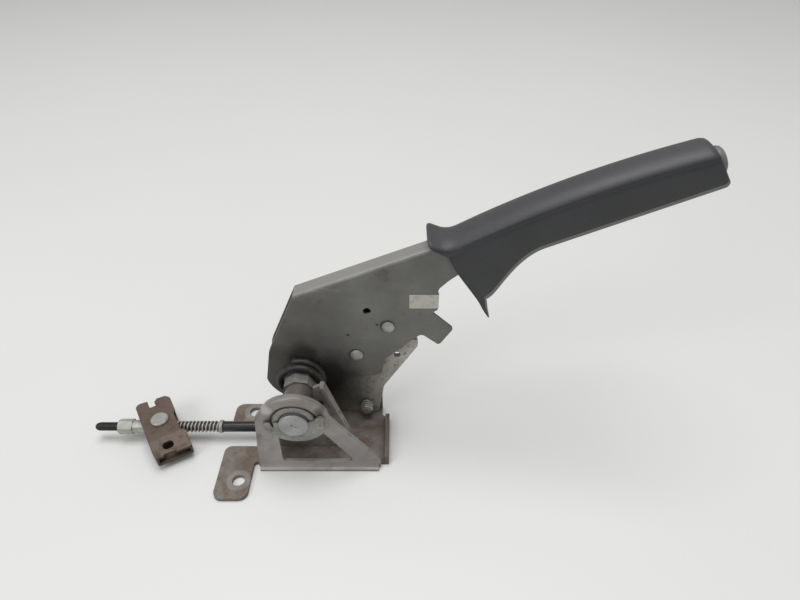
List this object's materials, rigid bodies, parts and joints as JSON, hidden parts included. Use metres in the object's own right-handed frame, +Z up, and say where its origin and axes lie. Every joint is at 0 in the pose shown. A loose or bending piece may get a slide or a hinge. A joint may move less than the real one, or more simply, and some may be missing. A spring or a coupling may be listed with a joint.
{
  "type": "parking brake lever",
  "caption": "Hand lever on a pivot bracket with a ratchet sector, a pawl freed by a push button in the grip, and a pull rod with adjuster nut and cable equalizer.",
  "frame": {"origin": "midway between the two mounting holes, on the underside of the base", "axes": "+X forward along the part to the grip, +Y across from the shaft's free end to the lever, +Z up from the floor"},
  "size_m": [0.4085, 0.0942, 0.2221],
  "materials": {
    "black_steel": "black oxide, slight sheen",
    "bright_zinc": "zinc plated, satin",
    "button_plastic": "dark grey brown, worn satin",
    "grip_vinyl": "charcoal moulded skin with a fine leather grain",
    "guide_plastic": "matt dark nylon",
    "lever_steel": "bare pressed sheet, dark grease near the pivot",
    "paper_tape": "pale beige tape, soiled",
    "rusty_steel": "weathered sheet, rust brown with grey patches",
    "sector_steel": "stamped plate, lightly speckled",
    "shaft_steel": "turned steel, satin",
    "sintered_bush": "sintered bush, matt beige grey",
    "sleeve_plastic": "black sleeve, smooth",
    "spring_steel": "oiled black spring wire",
    "zinc_sheet": "dulled zinc sheet with dirt in the corners",
    "zinc_wire": "zinc plated wire"
  },
  "bodies": {
    "base": {"base_plate": "rusty_steel", "support_bracket": "zinc_sheet", "inner_bracket": "zinc_sheet", "pivot_bush": "sintered_bush", "ratchet_sector": "sector_steel", "sector_screws": "bright_zinc", "torsion_spring": "spring_steel"},
    "lever": {"lever_arm": "lever_steel", "pivot_shaft": "shaft_steel", "retaining_clip": "bright_zinc", "shaft_ring": "black_steel", "pull_arm": "zinc_sheet", "pawl_pin": "shaft_steel", "stop_pin": "shaft_steel", "edge_tape": "paper_tape", "grip": "grip_vinyl", "rod_guide": "guide_plastic", "button_spring": "zinc_wire"},
    "release": {"push_button": "button_plastic", "release_rod": "zinc_wire"},
    "pawl": {"pawl": "sector_steel"},
    "rod": {"pull_rod": "black_steel", "clevis_pin": "bright_zinc", "rod_sleeve": "sleeve_plastic", "spring_collar": "shaft_steel", "rattle_spring": "zinc_wire"},
    "trunnion": {"trunnion_pin": "bright_zinc"},
    "nut": {"adjuster_nut": "bright_zinc"},
    "equalizer": {"equalizer": "rusty_steel"}
  },
  "joints": [
    {"name": "lever_hinge", "type": "hinge", "parent": "base", "child": "lever", "pos_m": [0.042, 0.0335, 0.05], "axis": [0, -1, 0], "range_deg": [0, 42], "deforming": ["torsion_spring"]},
    {"name": "button_press", "type": "slide", "parent": "lever", "child": "release", "axis": [-0.9265, 0, -0.3762], "range_m": [0, 0.006], "stiffness_N_per_m": 600, "springref_m": -0.003, "deforming": ["button_spring"]},
    {"name": "pawl_hinge", "type": "hinge", "parent": "lever", "child": "pawl", "pos_m": [0.10407, 0.0335, 0.09409], "axis": [0, -1, 0], "range_deg": [0, 9.05]},
    {"name": "rod_swing", "type": "hinge", "parent": "lever", "child": "rod", "pos_m": [0.034, 0.009, 0.012], "axis": [0, -1, 0], "range_deg": [-42, 0]},
    {"name": "adjuster_travel", "type": "slide", "parent": "rod", "child": "trunnion", "axis": [1, 0, 0], "range_m": [0, 0.006], "deforming": ["rattle_spring"]},
    {"name": "nut_spin", "type": "hinge", "parent": "trunnion", "child": "nut", "pos_m": [-0.0635, 0.009, 0.012], "axis": [1, 0, 0], "range_deg": [0, 2165]},
    {"name": "equalizer_swivel", "type": "hinge", "parent": "trunnion", "child": "equalizer", "pos_m": [-0.0635, 0.009, 0.012], "axis": [0, 0, 1], "range_deg": [-54, 2]}
  ],
  "couplings": [
    {"joint": "pawl_hinge", "follows": "button_press", "rad_per_m": 26.11},
    {"joint": "rod_swing", "follows": "lever_hinge", "ratio": -1},
    {"joint": "nut_spin", "follows": "adjuster_travel", "rad_per_m": 6283.2}
  ]
}
